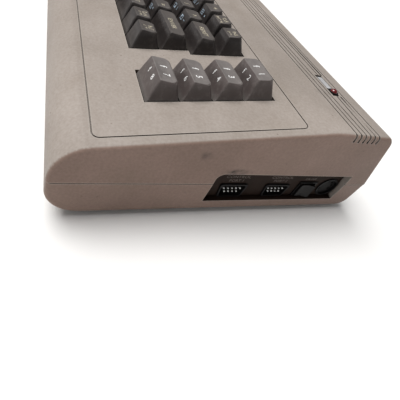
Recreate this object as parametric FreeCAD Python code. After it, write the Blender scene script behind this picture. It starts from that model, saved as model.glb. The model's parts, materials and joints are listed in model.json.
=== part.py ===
import FreeCAD, Part
import math
import os

# Wedge-shaped home computer with a full keyboard and a column of four function keys.
# Frame: +X to the right end, +Y to the rear, +Z up; origin under the middle, on the table.
# All lengths are in millimetres.

os.makedirs("parts", exist_ok=True)
V = FreeCAD.Vector

# Case
case_w = 404.0
case_d = 204.0
half_w = case_w / 2
half_d = case_d / 2
feet_h = 2.5
seam_z = 27.5
crest_z = 68.5
wall = 2.8
deck_deg = 8.5
deck_z0 = 61.7
nose_r = 20.5
crest_r = 90.0
rear_top_r = 8.0
rear_lean_deg = 14.0
front_bottom_r = 17.5
rear_bottom_r = 9.0
side_draft_top = 2.0
side_draft_bottom = 1.2
top_edge_r = 2.2
bottom_edge_r = 3.0
seam_groove = 0.4
fit_gap = 0.3

# Keyboard, in the sloping frame of the deck: x, s up the slope, h off the deck
keys_left_margin = 19.3
keys_right_margin = 32.275
keys_front_margin = 44.06
block_u = 16.0
column_gap_u = 1.0
f_key_u = 1.5
unit = (case_w - keys_left_margin - keys_right_margin) / (block_u + column_gap_u + f_key_u)
keys_x0 = -half_w + keys_left_margin
f_keys_x0 = keys_x0 + unit * (block_u + column_gap_u)
row_front_s = -half_d + keys_front_margin
cap_gap = 0.85
opening_gap = 0.4
travel = 3.8
cap_base_h = -1.5
cap_wall = 1.3
cap_slope = 0.17
dish_depth = 0.8
plunger = 5.6
plate_top_h = -7.5
plate_t = 2.0
plunger_low_h = -12.0
board_gap = 0.8
key_board_t = 1.6

# Levelling wire under the space bar
wire_r = 0.6
wire_reach = 52.0
wire_h = -2.5
wire_in = 3.8
wire_arm = 6.5
lug_w = 2.4
lug_l = 7.0

# Row number: front and rear height of the cap's top, front and rear inset of the top, in key units
row_shape = {
    1: (0.630, 0.640, 0.273, 0.147),
    2: (0.556, 0.488, 0.315, 0.115),
    3: (0.556, 0.462, 0.294, 0.105),
    4: (0.609, 0.504, 0.346, 0.084),
    5: (0.556, 0.451, 0.315, 0.105),
}
# Row number: start of the row and the width of each key, in key units
row_keys = {
    1: (0.0, [1.0] * 16),
    2: (0.0, [1.5] + [1.0] * 13 + [1.5]),
    3: (-0.25, [1.0] * 14 + [2.0]),
    4: (-0.25, [1.0, 1.5] + [1.0] * 10 + [1.5, 1.0, 1.0]),
    5: (3.0, [9.0]),
}
# Row number: how many keys at the left and at the right move as pieces of their own
single_left = {1: 0, 2: 0, 3: 2, 4: 2}
single_right = 4

# Port recess in the right side, placed from the rear of the case
recess_y0 = half_d - 120.0
recess_y1 = half_d - 19.7
recess_z0 = 11.5
recess_z1 = 35.2
recess_depth = 4.4
recess_corner_r = 5.0
plate_x = half_w - recess_depth
port_plate_t = 1.8
plate_lap = 2.0
port_z = 17.2
port_1_y = half_d - 102.0
port_2_y = half_d - 70.2
port_w = 18.6
port_h = 11.0
port_block_d = 20.2
shroud_wall = 1.0
pin_pitch = 2.77
pin_row = 1.42
pin_r = 0.5
pin_l = 5.6
switch_y = half_d - 46.7
switch_z = 18.4
switch_w = 12.6
switch_h = 11.4
rocker_w = 10.4
rocker_h = 10.6
rocker_tilt = 7.0
power_y = half_d - 27.7
power_z = 20.0
round_socket_r = 8.0
round_face_r = 7.0
round_body = 16.8

# Main board and rear ports, placed from the left end and the rear of the case
board_z = 9.0
board_t = 1.6
board_top = board_z + board_t
board_x0 = -half_w + 34.0
board_x1 = half_w - 18.0
board_y0 = half_d - 152.0
board_y1 = half_d - 10.0
tongue_y = half_d - 4.0
user_x = -half_w + 64.0
user_w = 50.0
cassette_x = -half_w + 128.0
cassette_w = 30.0
serial_x = -half_w + 164.0
av_x = -half_w + 190.0
round_z = 19.0
modulator_x0 = -half_w + 210.0
modulator_w = 48.0
modulator_d = 43.0
modulator_h = 19.0
tv_x = -half_w + 226.0
tv_z = 17.0
tv_barrel_r = 4.15
tv_bore_r = 1.7
selector_x = -half_w + 248.0
selector_travel = 4.0
cartridge_x = -half_w + 302.0
cartridge_w = 68.0
contact_pitch = 3.96
shield_z = 30.5
shield_t = 0.6

# Grooves across the rear of the deck, and the lamp between them
groove_y0 = half_d - 43.5
groove_pitch = 4.4
groove_n = 6
groove_w = 1.0
groove_deep = 1.1
lamp_x = half_w - 45.5
lamp_y = half_d - 30.0
lamp_r = 2.6
lamp_slot_x0 = half_w - 65.0
lamp_slot_x1 = half_w - 41.0
lamp_slot_w = 7.4
panel_x = half_w - 7.8
panel_front_s = -half_d + 16.5
panel_rear_s = row_front_s + 4 * unit + 9.94
panel_r = 3.5
panel_line_w = 0.7

# Screws; small holes, shanks and posts that repeat have eight flats, and their radius is to the corners
screw_r = 1.45
screw_hole_r = 1.62
head_r = 2.8
head_h = 1.8
post_r = 3.4
board_post_r = 3.8
case_post_r = 5.2
foot_r = 8.0
vent_n = 9
vent_pitch = 30.0
vent_l = 20.0
vent_w = 2.8

# Places of the posts: x and s on the deck, x and y on the bottom
front_post_s = row_front_s - 12.06
rear_post_s = row_front_s + 4 * unit + 4.74
deck_posts = [
    (-half_w + 37.0, front_post_s),
    (half_w - 127.0, front_post_s),
    (half_w - 44.0, front_post_s),
    (f_keys_x0 - column_gap_u * unit / 2, row_front_s + 28.0),
    (-half_w + 37.0, rear_post_s),
    (-half_w + 162.0, rear_post_s),
    (half_w - 127.0, rear_post_s),
    (half_w - 44.0, rear_post_s),
]
case_posts = [(x, -half_d + 12.0) for x in (-half_w + 52.0, 0, half_w - 52.0)]
board_posts = [
    (board_x0 + 8.0, board_y0 + 8.0),
    (board_x0 + 178.0, board_y0 + 8.0),
    (board_x1 - 34.0, board_y0 + 8.0),
    (board_x0 + 8.0, board_y1 - 22.0),
    (board_x0 + 138.0, board_y1 - 70.0),
    (board_x1 - 34.0, board_y1 - 52.0),
]
hooks_x = [-half_w + 16.0, -half_w + 102.0, -half_w + 146.0, half_w - 20.0]
hook_w = 12.0
hook_t = 2.3

# Keyboard frame, in the deck's frame
frame_x0 = keys_x0 - 9.0
frame_x1 = f_keys_x0 + f_key_u * unit + 6.2
frame_s0 = row_front_s - unit - 5.5
frame_s1 = row_front_s + 4 * unit + 9.24
frame_low_h = plunger_low_h - travel - board_gap

slope = math.radians(deck_deg)
lean = math.radians(rear_lean_deg)
made = {}


def save(name, shape):
    """Writes one sub-part."""
    made[name] = shape
    shape.exportStep("parts/" + name + ".step")


def box(x0, x1, y0, y1, z0, z1):
    return Part.makeBox(x1 - x0, y1 - y0, z1 - z0, V(x0, y0, z0))


def around(centre, reach):
    """Low and high end of a span, from its middle and half its length."""
    return centre - reach, centre + reach


def group(shapes):
    return Part.makeCompound(shapes)


def fuse(shapes):
    first = shapes[0]
    return first.multiFuse(shapes[1:]).removeSplitter() if len(shapes) > 1 else first


def cylinder(r, h, base, axis=V(0, 0, 1)):
    return Part.makeCylinder(r, h, base, axis)


def polygon_prism(points, direction):
    """Extrudes a closed polygon of vectors."""
    face = Part.Face(Part.makePolygon(points + [points[0]]))
    return face.extrude(direction)


def eight_sided(r, base, direction):
    """Bar with eight flats along one of the axes, for what is small and repeats."""
    points = []
    for i in range(8):
        a = math.pi * (i + 0.5) / 4
        c, s = r * math.cos(a), r * math.sin(a)
        if abs(direction.x) > 0:
            points.append(base + V(0, c, s))
        elif abs(direction.y) > 0:
            points.append(base + V(c, 0, s))
        else:
            points.append(base + V(c, s, 0))
    return polygon_prism(points, direction)


def flat_sided(low, high):
    """Solid between two four-cornered outlines whose joining faces are flat."""
    outlines = [low, high]
    for i in range(4):
        j = (i + 1) % 4
        outlines.append([low[i], low[j], high[j], high[i]])
    faces = [Part.Face(Part.makePolygon(points + points[:1])) for points in outlines]
    shell = Part.makeShell(faces)
    shell.sewShape()
    solid = Part.makeSolid(shell)
    if solid.Volume < 0:
        solid.reverse()
    return solid


def to_deck(shape):
    """Moves a shape from the deck's sloping frame to the row frame."""
    placed = shape.copy()
    placed.rotate(V(0, 0, 0), V(1, 0, 0), deck_deg)
    placed.translate(V(0, 0, deck_z0))
    return placed


def arc_edge(centre, r, a0, a1):
    """Arc in the YZ plane from angle a0 to a1, in radians from +Y towards +Z."""
    def at(a):
        return V(0, centre[0] + r * math.cos(a), centre[1] + r * math.sin(a))
    return Part.Arc(at(a0), at((a0 + a1) / 2), at(a1)).toShape()


def chain(edges):
    """Joins edges with straight lines into one closed face."""
    out = []
    for i, edge in enumerate(edges):
        nxt = edges[(i + 1) % len(edges)]
        out.append(edge)
        a = edge.lastVertex(True).Point
        b = nxt.firstVertex(True).Point
        if (a - b).Length > 1e-6:
            out.append(Part.makeLine(a, b))
    return Part.Face(Part.Wire(Part.__sortEdges__(out)))


def top_section(t):
    """Side outline of the upper shell, set in by t."""
    nose_y = -half_d + nose_r
    nose_z = deck_z0 + math.tan(slope) * nose_y - nose_r / math.cos(slope)
    crest_y = (crest_r / math.cos(slope) - crest_r + crest_z - deck_z0) / math.tan(slope)
    rear_z = crest_z - rear_top_r
    rear_y = half_d - (rear_top_r - (seam_z - rear_z) * math.sin(lean)) / math.cos(lean)
    up = math.pi / 2
    nose = arc_edge((nose_y, nose_z), nose_r - t, math.pi, up + slope)
    crest = arc_edge((crest_y, crest_z - crest_r), crest_r - t, up + slope, up)
    rear = arc_edge((rear_y, rear_z), rear_top_r - t, up, lean)
    foot = Part.makeLine(V(0, half_d - t / math.cos(lean), seam_z), V(0, -half_d + t, seam_z))
    return chain([nose, crest, rear, foot])


def bottom_section(t):
    """Side outline of the lower shell, set in by t."""
    front_y = -half_d + front_bottom_r
    rear_y = half_d - rear_bottom_r
    front = arc_edge((front_y, feet_h + front_bottom_r), front_bottom_r - t, math.pi, 1.5 * math.pi)
    rear = arc_edge((rear_y, feet_h + rear_bottom_r), rear_bottom_r - t, 1.5 * math.pi, 2 * math.pi)
    mouth = Part.makeLine(V(0, half_d - t, seam_z), V(0, -half_d + t, seam_z))
    return chain([front, rear, mouth])


def drafted(section, t, end_z, draft):
    """Extrudes a side outline across the case, its ends leaning in by the draft."""
    body = section(t)
    body.translate(V(-half_w, 0, 0))
    body = body.extrude(V(case_w, 0, 0))
    x = half_w - t
    reach = (end_z - seam_z) * 1.2
    lean_x = draft * 1.2
    ends = [V(-x, -case_d, seam_z), V(x, -case_d, seam_z)]
    ends += [V(x - lean_x, -case_d, seam_z + reach), V(-x + lean_x, -case_d, seam_z + reach)]
    return body.common(polygon_prism(ends, V(0, 2 * case_d, 0)))


def round_sides(body, r):
    """Rounds the edges where a shell's ends meet its outline."""
    edges = []
    for e in body.Edges:
        at_end = min(abs(v.Point.x) for v in e.Vertexes) > half_w - 6
        on_seam = all(abs(v.Point.z - seam_z) < 1e-3 for v in e.Vertexes)
        if at_end and not on_seam:
            edges.append(e)
    return body.makeFillet(r, edges)


def cell(row, index):
    """Left edge and width of a key's place."""
    start, widths = row_keys[row]
    left = keys_x0 + unit * (start + sum(widths[:index]))
    return left, widths[index] * unit


def row_s(row):
    """Front edge of a row, up the slope."""
    return row_front_s + (4 - row) * unit


def cap(left, width, row):
    """Keycap: sloping sides, dished top, hollow underneath, with its plunger."""
    front_h, rear_h, front_in, rear_in = [share * unit for share in row_shape[row]]
    s0 = row_s(row) + cap_gap / 2
    s1 = s0 + unit - cap_gap
    x0 = left + cap_gap / 2
    x1 = left + width - cap_gap / 2
    middle = (x0 + x1) / 2

    def block(inset, drop, low):
        def ring(h_front, h_rear):
            points = []
            for h, s, s_in, full in ((h_front, s0, front_in, front_h), (h_rear, s1, -rear_in, rear_h)):
                side = inset + cap_slope * (h - cap_base_h)
                away = inset if s == s0 else -inset
                at_s = s + away + s_in * (h - cap_base_h) / (full - cap_base_h)
                points += [V(x0 + side, at_s, h), V(x1 - side, at_s, h)]
            return [points[0], points[1], points[3], points[2]]
        return flat_sided(ring(low, low), ring(front_h - drop, rear_h - drop))

    body = block(0, 0, cap_base_h)
    # the dish is a shallow cylinder that lies front to rear along the top
    span = x1 - x0 - 2 * cap_slope * (rear_h - cap_base_h)
    dish_r = span * span / (8 * dish_depth) + dish_depth / 2
    tilt = math.atan2(rear_h - front_h, s1 - rear_in - s0 - front_in)
    low_h = (front_h + rear_h) / 2 - dish_depth
    run = V(0, math.cos(tilt), math.sin(tilt))
    normal = V(0, -math.sin(tilt), math.cos(tilt))
    mid = V(middle, (s0 + front_in + s1 - rear_in) / 2, low_h)
    if row != 5:
        body = body.cut(cylinder(dish_r, 3 * unit, mid + normal * dish_r - run * 1.5 * unit, run))
    body = body.cut(block(cap_wall, cap_wall + dish_depth + 0.4, cap_base_h - 0.5))
    stem_x = around(middle, plunger / 2)
    stem_s = around((s0 + s1) / 2, plunger / 2)
    parts = [body, box(*stem_x, *stem_s, plunger_low_h, low_h - cap_wall + 0.6)]
    if row == 5:
        # lugs that the levelling wire is clipped under
        low = wire_h + wire_r + fit_gap
        for side in (-1, 1):
            x = around(middle + side * (wire_reach - lug_w / 2), lug_w / 2)
            parts.append(box(*x, s0 + wire_in, s0 + wire_in + lug_l, low, low_h - cap_wall - 0.8))
    return to_deck(fuse(parts))


# Every key: name of its node, left edge, width and row
keys = []
for row in (1, 2, 3, 4):
    count = len(row_keys[row][1])
    for index in range(count):
        left, width = cell(row, index)
        single = index < single_left[row] or index >= count - single_right
        node = "key_row%d_%02d" % (row, index + 1) if single else "keys_row%d_middle" % row
        keys.append((node, left, width, row))
for row, node in ((1, "key_f1"), (2, "key_f3"), (3, "key_f5"), (4, "key_f7")):
    keys.append((node, f_keys_x0, f_key_u * unit, row))
left, width = cell(5, 0)
keys.append(("key_space_bar", left, width, 5))

caps = {}
for node, left, width, row in keys:
    caps.setdefault(node, []).append(cap(left, width, row))


def opening(gap, h0, h1):
    """Space for the keys through the deck: the stepped block and the function column."""
    steps = []
    for row in (1, 2, 3, 4, 5):
        start, widths = row_keys[row]
        x0 = keys_x0 + unit * start - gap
        x1 = keys_x0 + unit * (start + sum(widths)) + gap
        s0 = row_s(row) - (gap if row >= 4 else 0)
        s1 = row_s(row) + unit + (gap if row == 1 else 0)
        steps.append(box(x0, x1, s0, s1, h0, h1))
    f_x1 = f_keys_x0 + f_key_u * unit + gap
    steps.append(box(f_keys_x0 - gap, f_x1, row_s(4) - gap, row_s(1) + unit + gap, h0, h1))
    return steps


def make_top_case():
    outer = round_sides(drafted(top_section, 0, crest_z, side_draft_top), top_edge_r)
    body = outer.cut(drafted(top_section, wall, crest_z, side_draft_top))
    # collar behind the port recess
    collar_x0 = plate_x - 1.4
    adds = [box(collar_x0, half_w - 2, recess_y0 - 3, recess_y1 + 3, seam_z, recess_z1 + 3)]
    for x, s in deck_posts:
        post = eight_sided(post_r, V(x, s, plate_top_h), V(0, 0, -plate_top_h - 0.5))
        adds.append(to_deck(post))
    for x, y in case_posts:
        adds.append(eight_sided(case_post_r, V(x, y, seam_z), V(0, 0, 20)).common(outer))
    hook_y1 = half_d - wall - fit_gap
    for x in hooks_x:
        adds.append(box(*around(x, hook_w / 2), hook_y1 - hook_t, hook_y1, seam_z - 4.5, seam_z + 4))
    body = fuse([body] + adds)
    cuts = [to_deck(b) for b in opening(opening_gap, -wall - 1.5, 6)]
    for x, s in deck_posts:
        cuts.append(to_deck(eight_sided(screw_hole_r, V(x, s, plate_top_h - 0.1), V(0, 0, 5.2))))
    for x, y in case_posts:
        cuts.append(eight_sided(screw_hole_r, V(x, y, seam_z - 0.1), V(0, 0, 9)))
    cuts.append(recess_cutter())
    cuts.append(plate_pocket())
    for i in range(groove_n):
        y = groove_y0 + i * groove_pitch
        cuts.append(box(-half_w - 5, half_w + 5, *around(y, groove_w / 2), crest_z - groove_deep, crest_z + 5))
        for x0, x1 in ((-half_w - 5, -half_w + 3.4), (half_w - 3.4, half_w + 5)):
            cuts.append(box(x0, x1, *around(y, 0.8), crest_z - 5.2, crest_z + 2))
    slot_y = around(lamp_y, lamp_slot_w / 2)
    cuts.append(box(lamp_slot_x0, lamp_slot_x1, *slot_y, crest_z - 1.6, crest_z + 5))
    cuts.append(cylinder(lamp_r + 0.2, 8, V(lamp_x, lamp_y, crest_z - 6)))
    cuts.append(panel_line())
    return body.cut(group(cuts)).removeSplitter()


def recess_cutter():
    """Mouth of the port recess; its front top corner is well rounded."""
    body = box(plate_x, half_w + 4, recess_y0, recess_y1, recess_z0, recess_z1)
    edges = []
    for e in body.Edges:
        a, b = [v.Point for v in e.Vertexes]
        if abs(a.x - b.x) > 1 and abs(a.y - recess_y0) < 0.01 and a.z > seam_z:
            edges.append(e)
    return body.makeFillet(recess_corner_r, edges)


def plate_pocket():
    """Room behind the recess for the plate that carries the ports."""
    lap = plate_lap + fit_gap
    return box(plate_x - 30, plate_x, recess_y0 - lap, recess_y1 + lap, recess_z0 - 1 - fit_gap, recess_z1 + lap)


def panel_line():
    """Fine line around the keyboard field."""
    def ring(grow):
        body = box(-panel_x - grow, panel_x + grow, panel_front_s - grow, panel_rear_s + grow, -0.6, 8)
        edges = [e for e in body.Edges if abs(e.Vertexes[0].Point.z - e.Vertexes[-1].Point.z) > 1]
        return body.makeFillet(panel_r + grow, edges)
    return to_deck(ring(panel_line_w / 2).cut(ring(-panel_line_w / 2)))


def make_bottom_case():
    outer = round_sides(drafted(bottom_section, 0, feet_h, side_draft_bottom), bottom_edge_r)
    body = outer.cut(drafted(bottom_section, wall, feet_h, side_draft_bottom))
    floor = feet_h + wall
    adds = [box(plate_x - 1.4, half_w - 2.5, recess_y0 - 3, recess_y1 + 3, recess_z0 - 3, seam_z)]
    for x, y in case_posts:
        post = eight_sided(case_post_r, V(x, y, floor - 0.2), V(0, 0, seam_z - floor + 0.2))
        adds.append(post.common(outer))
    for x, y in board_posts:
        adds.append(eight_sided(board_post_r, V(x, y, floor - 0.2), V(0, 0, board_z - floor + 0.2)))
    body = fuse([body] + adds)
    cuts = [recess_cutter(), plate_pocket()]
    for x, y in case_posts:
        cuts.append(eight_sided(screw_hole_r, V(x, y, 0), V(0, 0, 40)))
        cuts.append(cylinder(head_r + 0.8, 6.2, V(x, y, feet_h - 0.1)))
    for x, y in board_posts:
        cuts.append(eight_sided(screw_hole_r, V(x, y, board_z - 3.9), V(0, 0, 4)))
    cuts += rear_mouths()
    # rows of vent slots under the board
    for row_y in (board_y0 + 20, board_y0 + 50, board_y0 + 80):
        for i in range(vent_n):
            x = (i - (vent_n - 1) / 2) * vent_pitch
            cuts.append(box(*around(x, vent_l / 2), *around(row_y, vent_w / 2), 0, floor + 0.1))
    body = body.cut(group(cuts))
    # fine groove under the seam, all round
    out_x, out_y = half_w + 1, half_d + 1
    in_x, in_y = half_w - 0.7, half_d - 0.7
    band = box(-out_x, out_x, -out_y, out_y, seam_z - seam_groove, seam_z + 1)
    keep = box(-in_x, in_x, -in_y, in_y, seam_z - seam_groove - 1, seam_z + 2)
    return body.cut(band.cut(keep)).removeSplitter()


def rear_mouths():
    """Openings in the rear wall for the rear ports."""
    y = (half_d - 6, half_d + 3)
    cuts = [box(*around(cartridge_x, cartridge_w / 2), *y, board_top - 1, seam_z + 1)]
    cuts.append(box(*around(user_x, user_w / 2 + 5), *y, board_z - 4, board_top + 8))
    cuts.append(box(*around(cassette_x, cassette_w / 2 + 4), *y, board_z - 4, board_top + 7))
    cuts.append(box(*around(selector_x, 6), *y, *around(tv_z, 3)))
    cuts.append(cylinder(6.0, y[1] - y[0], V(tv_x, y[0], tv_z), V(0, 1, 0)))
    for x in (av_x, serial_x):
        cuts.append(cylinder(round_socket_r + fit_gap, y[1] - y[0], V(x, y[0], round_z), V(0, 1, 0)))
    return cuts


def pan_screw(tip, length, up):
    """Screw with its head at one end; up is the way it points."""
    shank = eight_sided(screw_r, tip - up * length, up * length)
    head = eight_sided(head_r, tip - up * (length + head_h), up * head_h)
    return shank.fuse(head)


def make_case_screws():
    """Long screws up through the bottom."""
    length = seam_z + 8.5 - feet_h - 6.1
    return group([pan_screw(V(x, y, seam_z + 8.5), length, V(0, 0, 1)) for x, y in case_posts])


def make_inner_screws():
    screws = []
    for x, s in deck_posts:
        tip = V(x, s, plate_top_h + 4.6)
        screws.append(to_deck(pan_screw(tip, plate_t + 4.6, V(0, 0, 1))))
    for x, y in board_posts:
        tip = V(x, y, board_z - 3.6)
        screws.append(pan_screw(tip, board_t + 3.6, V(0, 0, -1)))
    return group(screws)


def make_keyboard_frame():
    """Plate that the plungers slide in, with a skirt down to the keyboard's board."""
    under = plate_top_h - plate_t
    body = box(frame_x0, frame_x1, frame_s0, frame_s1, under, plate_top_h)
    rim = box(frame_x0 + 5, frame_x1 - 5, frame_s0 + 5, frame_s1 - 8, frame_low_h, under)
    rim = rim.cut(box(frame_x0 + 7, frame_x1 - 7, frame_s0 + 7, frame_s1 - 10, frame_low_h - 1, plate_top_h))
    cuts = []
    half = plunger / 2 + 0.35
    for node, left, width, row in keys:
        x = around(left + width / 2, half)
        cuts.append(box(*x, *around(row_s(row) + unit / 2, half), frame_low_h - 1, plate_top_h + 1))
    for x, s in deck_posts:
        cuts.append(eight_sided(screw_hole_r, V(x, s, frame_low_h - 5), V(0, 0, 30)))
        cuts.append(box(*around(x, 4), *around(s, 4), frame_low_h - 1, under))
    return to_deck(body.fuse(rim).cut(group(cuts)).removeSplitter())


def make_keyboard_board():
    low = frame_low_h - key_board_t
    body = box(frame_x0 + 3, frame_x1 - 3, frame_s0 + 3, frame_s1 - 6, low, frame_low_h)
    cuts = [box(*around(x, 4.2), *around(s, 4.2), low - 1, frame_low_h + 1) for x, s in deck_posts]
    return to_deck(body.cut(group(cuts)).removeSplitter())


def make_space_bar_wire():
    """Bent wire that keeps the space bar level."""
    left, width = cell(5, 0)
    x = left + width / 2
    s = row_s(5) + cap_gap / 2 + wire_in
    bar = eight_sided(wire_r, V(x - wire_reach, s, wire_h), V(2 * wire_reach, 0, 0))
    arms = []
    for side in (-1, 1):
        start = V(x + side * (wire_reach - wire_r), s, wire_h)
        arms.append(eight_sided(wire_r, start, V(0, wire_arm, 0)))
    return to_deck(bar.multiFuse(arms).removeSplitter())


def make_main_board():
    body = box(board_x0, board_x1, board_y0, board_y1, board_z, board_top)
    tabs = []
    for x, w in ((user_x, user_w), (cassette_x, cassette_w)):
        tabs.append(box(*around(x, w / 2), board_y1 - 1, tongue_y, board_z, board_top))
    holes = [eight_sided(screw_hole_r, V(x, y, board_z - 3), V(0, 0, 9)) for x, y in board_posts]
    return fuse([body] + tabs).cut(group(holes))


def make_edge_contacts():
    strips = []
    for centre, count in ((user_x, 12), (cassette_x, 6)):
        for i in range(count):
            x = centre + (i - (count - 1) / 2) * contact_pitch
            strips.append(box(*around(x, 1.1), board_y1 - 4, tongue_y - 0.5, board_top, board_top + 0.1))
    return group(strips)


def chips(places, length, width, height):
    """Long flat packages on the board; long side along Y."""
    packages = []
    for x, y in places:
        packages.append(box(*around(x, width / 2), *around(y, length / 2), board_top, board_top + height))
    return group(packages)


def make_capacitors():
    """Three large cans and three small ones."""
    cans = []
    for x, y in ((board_x1 - 64, board_y1 - 30), (board_x1 - 50, board_y1 - 30), (board_x1 - 64, board_y1 - 16)):
        cans.append(eight_sided(5.0, V(x, y, board_top), V(0, 0, 13)))
    for x, y in ((board_x0 + 106, board_y1 - 22), (board_x0 + 118, board_y1 - 22), (board_x0 + 238, board_y1 - 26)):
        cans.append(eight_sided(3.2, V(x, y, board_top), V(0, 0, 9)))
    return group(cans)


def make_heat_sink():
    x0 = board_x0 + 238
    y0 = board_y1 - 62
    base = box(x0, x0 + 40, y0, y0 + 2, board_top, board_top + 15)
    fins = [box(x0 + i * 7.6, x0 + i * 7.6 + 2, y0 + 2, y0 + 10, board_top + 3, board_top + 15) for i in range(6)]
    return fuse([base] + fins)


def make_shield():
    """Thin folded screen over the board."""
    x0, x1 = board_x0 + 18, board_x0 + 228
    y0, y1 = board_y0 + 1.4, board_y0 + 88
    sheet = box(x0, x1, y0, y1, shield_z, shield_z + shield_t)
    lip = box(x0, x1, y0, y0 + shield_t, board_top, shield_z)
    return sheet.fuse(lip).removeSplitter()


def make_modulator():
    y1 = board_y1 + 1
    body = box(modulator_x0, modulator_x0 + modulator_w, y1 - modulator_d, y1, board_top, board_top + modulator_h)
    slot = box(*around(selector_x, 5), y1 - 4, y1 + 1, *around(tv_z, 2.8))
    return body.cut(slot)


def make_selector():
    """Small sliding knob for the television channel, at its left stop."""
    x = selector_x - selector_travel / 2
    foot_y1 = board_y1 + 0.6
    foot = box(*around(x, 2.6), foot_y1 - 2.6, foot_y1, *around(tv_z, 2.5))
    knob = box(*around(x, 1.6), foot_y1, half_d - 1.2, *around(tv_z, 1.8))
    return foot.fuse(knob).removeSplitter()


def make_tv_socket():
    """Coaxial jack: flange, barrel and its bore."""
    y = board_y1 + 1
    back = V(0, 1, 0)
    flange = box(*around(tv_x, 6), y, y + 1.2, *around(tv_z, 6))
    barrel = cylinder(tv_barrel_r, half_d - 0.6 - y, V(tv_x, y, tv_z), back)
    bore = cylinder(tv_bore_r, 9, V(tv_x, y + 1.5, tv_z), back)
    return flange.fuse(barrel).cut(bore).removeSplitter()


def round_socket(centre, out, holes, body_len):
    """Round multi-pole socket: square body, rim, sunken face and its contacts' holes."""
    def lay(a, b):
        return V(0, a, b) if abs(out.x) > 0 else V(a, 0, b)
    half = round_body / 2
    rear = centre - out * body_len
    corners = [rear + lay(a * half, b * half) for a, b in ((-1, -1), (1, -1), (1, 1), (-1, 1))]
    block = polygon_prism(corners, out * (body_len - 3.0))
    rim = cylinder(round_socket_r, 3.5, centre - out * 3.5, out)
    cuts = [cylinder(round_face_r, 2.0, centre - out * 1.5, out)]
    for i in range(holes):
        a = math.radians(-30 + 240 * i / (holes - 1))
        cuts.append(eight_sided(0.8, centre - out * 4 + lay(4.6 * math.cos(a), 4.6 * math.sin(a)), out * 5))
    return block.fuse(rim).cut(group(cuts)).removeSplitter()


def make_cartridge_connector():
    y0 = board_y1 - 8
    body = box(*around(cartridge_x, 31), y0, board_y1 + 3, board_top, board_top + 14.5)
    return body.cut(box(*around(cartridge_x, 28), y0 + 3, board_y1 + 4, board_top + 5.5, board_top + 9.5))


def d_outline(x, y, z, w, h, length):
    """Tapered plug outline, wider at the top, along X."""
    taper = 0.105 * h
    points = [V(x, y - w / 2 + taper, z - h / 2), V(x, y + w / 2 - taper, z - h / 2)]
    points += [V(x, y + w / 2, z + h / 2), V(x, y - w / 2, z + h / 2)]
    body = polygon_prism(points, V(length, 0, 0))
    edges = [e for e in body.Edges if abs(e.Vertexes[0].Point.x - e.Vertexes[-1].Point.x) > 0.5]
    return body.makeFillet(0.145 * h, edges)


def make_port_plate():
    """Dark plate at the bottom of the side recess."""
    x0 = plate_x - port_plate_t
    y = (recess_y0 - plate_lap, recess_y1 + plate_lap)
    body = box(x0, plate_x, *y, recess_z0 - 1, recess_z1 + plate_lap)
    cuts = []
    for port_y in (port_1_y, port_2_y):
        cuts.append(d_outline(x0 - 1, port_y, port_z, port_w + 2 * fit_gap, port_h + 2 * fit_gap, port_plate_t + 2))
    rim = 1 + fit_gap
    cuts.append(box(x0 - 1, plate_x + 1, *around(switch_y, switch_w / 2 + rim), *around(switch_z, switch_h / 2 + rim)))
    cuts.append(cylinder(round_socket_r + fit_gap, port_plate_t + 2, V(x0 - 1, power_y, power_z), V(1, 0, 0)))
    return body.cut(group(cuts))


def make_control_port(y):
    """Nine-way plug housing: a block on the board and a tapered shroud."""
    depth = 9.0
    shroud = d_outline(plate_x - depth, y, port_z, port_w, port_h, depth + 1)
    inner_w, inner_h = port_w - 2 * shroud_wall, port_h - 2 * shroud_wall
    cavity = d_outline(plate_x - pin_l + 0.6, y, port_z, inner_w, inner_h, 20)
    x1 = plate_x - port_plate_t - 0.2
    block = box(x1 - port_block_d + 0.2, x1, *around(y, 12), board_top, port_z + 6)
    return fuse([block, shroud]).cut(cavity).removeSplitter()


def make_port_pins():
    places = []
    for centre in (port_1_y, port_2_y):
        for count, z in ((5, port_z + pin_row), (4, port_z - pin_row)):
            for i in range(count):
                places.append((centre + (i - (count - 1) / 2) * pin_pitch, z))
    return group([eight_sided(pin_r, V(plate_x - pin_l + 0.6, y, z), V(pin_l, 0, 0)) for y, z in places])


def make_switch_body():
    y = around(switch_y, switch_w / 2)
    z = around(switch_z, switch_h / 2)
    rim = box(plate_x - 14, plate_x + 0.8, y[0] - 1, y[1] + 1, z[0] - 1, z[1] + 1)
    return rim.cut(box(plate_x - 12, plate_x + 2, *y, *z))


rocker_pivot = V(plate_x - 4.5, switch_y, switch_z)


def make_rocker():
    """Rocker with a shallow V face, resting tipped to its off side."""
    half = rocker_w / 2
    z0 = switch_z - rocker_h / 2
    x = rocker_pivot.x
    points = [V(x - 2.5, switch_y - 2.5, z0), V(x - 0.5, switch_y - half, z0)]
    points += [V(x + 7.4, switch_y - half, z0), V(x + 6.4, switch_y, z0), V(x + 7.4, switch_y + half, z0)]
    points += [V(x - 0.5, switch_y + half, z0), V(x - 2.5, switch_y + 2.5, z0)]
    body = polygon_prism(points, V(0, 0, rocker_h))
    body.rotate(rocker_pivot, V(0, 0, 1), -rocker_tilt)
    return body


def make_lamp():
    """Small lamp with a foot below the case and a blunt dome above it."""
    z = crest_z - wall - 1.2
    profile = [(0, z), (lamp_r + 0.6, z), (lamp_r + 0.6, z + 1), (lamp_r, z + 1), (lamp_r, z + 3.6)]
    profile += [(0.6 * lamp_r, z + 3.6 + lamp_r), (0, z + 3.6 + lamp_r)]
    points = [V(lamp_x + r, lamp_y, at_z) for r, at_z in profile]
    face = Part.Face(Part.makePolygon(points + [points[0]]))
    return face.revolve(V(lamp_x, lamp_y, 0), V(0, 0, 1), 360)


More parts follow.
